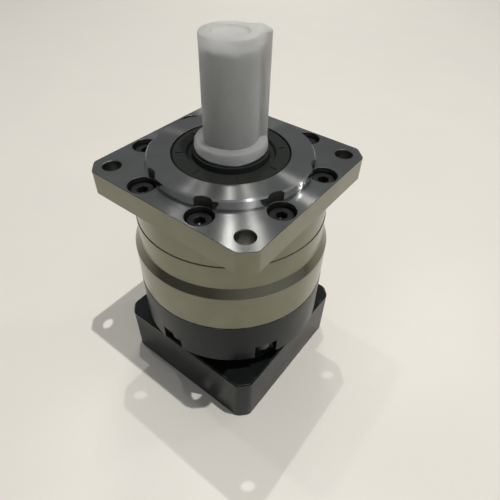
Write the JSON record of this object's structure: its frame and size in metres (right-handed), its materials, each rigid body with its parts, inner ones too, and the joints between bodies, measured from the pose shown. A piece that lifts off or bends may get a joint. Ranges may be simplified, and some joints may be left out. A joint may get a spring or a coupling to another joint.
{
  "type": "planetary gearbox",
  "caption": "Inline planetary gearbox with a square output flange, keyed shaft under a plastic sleeve, stepped round body, black adapter and a square motor plate with an inner clamp collar.",
  "frame": {"origin": "centre of the motor face, which is the bottom of the part", "axes": "+Z along the shaft, out of the output side; X and Y parallel to the sides of both square flanges; the access plug faces +Y"},
  "size_m": [0.065, 0.065, 0.1225],
  "materials": {
    "bare_steel": "fine turned and ground steel",
    "nickel_steel": "satin electroless nickel, warm grey",
    "black_anodised": "semi-gloss black anodised",
    "black_oxide": "black oxide, slightly oily",
    "bearing_steel": "polished bearing steel",
    "gear_steel": "ground gear steel",
    "bronze": "plain bronze",
    "black_rubber": "matt moulded rubber",
    "frosted_plastic": "frosted translucent polyethylene"
  },
  "bodies": {
    "housing": {"output_housing": "bare_steel", "flange_screw_1": "black_oxide", "flange_screw_2": "black_oxide", "flange_screw_3": "black_oxide", "flange_screw_4": "black_oxide", "flange_screw_5": "black_oxide", "flange_screw_6": "black_oxide", "flange_screw_7": "black_oxide", "flange_screw_8": "black_oxide", "shaft_seal": "black_rubber", "bearing_circlip": "black_oxide", "output_bearing_outer_ring": "bearing_steel", "input_bearing_outer_ring": "bearing_steel", "ring_gear": "nickel_steel", "input_adapter": "black_anodised", "adapter_screw_1": "black_oxide", "adapter_screw_2": "black_oxide", "adapter_screw_3": "black_oxide", "adapter_screw_4": "black_oxide", "adapter_screw_5": "black_oxide", "adapter_screw_6": "black_oxide", "motor_plate": "black_anodised", "plate_screw_1": "black_oxide", "plate_screw_2": "black_oxide", "plate_screw_3": "black_oxide", "plate_screw_4": "black_oxide"},
    "output": {"output_shaft": "bare_steel", "shaft_key": "bearing_steel", "carrier_plate": "gear_steel", "carrier_screw_1": "black_oxide", "carrier_screw_2": "black_oxide", "carrier_screw_3": "black_oxide", "planet_pin_1": "bearing_steel", "planet_pin_2": "bearing_steel", "planet_pin_3": "bearing_steel", "output_bearing_inner_ring": "bearing_steel"},
    "planet_1": {"planet_gear_1": "gear_steel", "planet_bush_1": "bronze"},
    "planet_2": {"planet_gear_2": "gear_steel", "planet_bush_2": "bronze"},
    "planet_3": {"planet_gear_3": "gear_steel", "planet_bush_3": "bronze"},
    "input": {"input_shaft": "gear_steel", "reducing_bush": "bronze", "clamp_collar": "black_oxide", "input_bearing_inner_ring": "bearing_steel"},
    "clamp_screw": {"clamp_screw": "black_oxide"},
    "output_balls": {"output_bearing_balls": "bearing_steel"},
    "input_balls": {"input_bearing_balls": "bearing_steel"},
    "sleeve": {"shaft_sleeve": "frosted_plastic"},
    "plug": {"access_plug": "black_rubber"}
  },
  "joints": [
    {"name": "output_spin", "type": "hinge", "parent": "housing", "child": "output", "pos_m": [0, 0, 0.08], "axis": [0, 0, 1], "continuous": true},
    {"name": "input_spin", "type": "hinge", "parent": "housing", "child": "input", "pos_m": [0, 0, 0.02], "axis": [0, 0, 1], "continuous": true},
    {"name": "planet_1_spin", "type": "hinge", "parent": "output", "child": "planet_1", "pos_m": [0.0162, 0, 0.0585], "axis": [0, 0, 1], "continuous": true},
    {"name": "planet_2_spin", "type": "hinge", "parent": "output", "child": "planet_2", "pos_m": [-0.0081, 0.01403, 0.0585], "axis": [0, 0, 1], "continuous": true},
    {"name": "planet_3_spin", "type": "hinge", "parent": "output", "child": "planet_3", "pos_m": [-0.0081, -0.01403, 0.0585], "axis": [0, 0, 1], "continuous": true},
    {"name": "output_balls_spin", "type": "hinge", "parent": "housing", "child": "output_balls", "pos_m": [0, 0, 0.0791], "axis": [0, 0, 1], "continuous": true},
    {"name": "input_balls_spin", "type": "hinge", "parent": "housing", "child": "input_balls", "pos_m": [0, 0, 0.037], "axis": [0, 0, 1], "continuous": true},
    {"name": "clamp_screw_turn", "type": "hinge", "parent": "input", "child": "clamp_screw", "pos_m": [0.0139, 0.0046, 0.014], "axis": [0, 1, 0], "range_deg": [0, 720]},
    {"name": "sleeve_slide", "type": "slide", "parent": "output", "child": "sleeve", "axis": [0, 0, 1], "range_m": [0, 0.035]},
    {"name": "plug_slide", "type": "slide", "parent": "housing", "child": "plug", "axis": [0, 1, 0], "range_m": [0, 0.012]}
  ],
  "couplings": [
    {"joint": "input_spin", "follows": "output_spin", "ratio": 4},
    {"joint": "planet_1_spin", "follows": "output_spin", "ratio": -3},
    {"joint": "planet_2_spin", "follows": "output_spin", "ratio": -3},
    {"joint": "planet_3_spin", "follows": "output_spin", "ratio": -3},
    {"joint": "output_balls_spin", "follows": "output_spin", "ratio": 0.42},
    {"joint": "input_balls_spin", "follows": "output_spin", "ratio": 1.77}
  ]
}
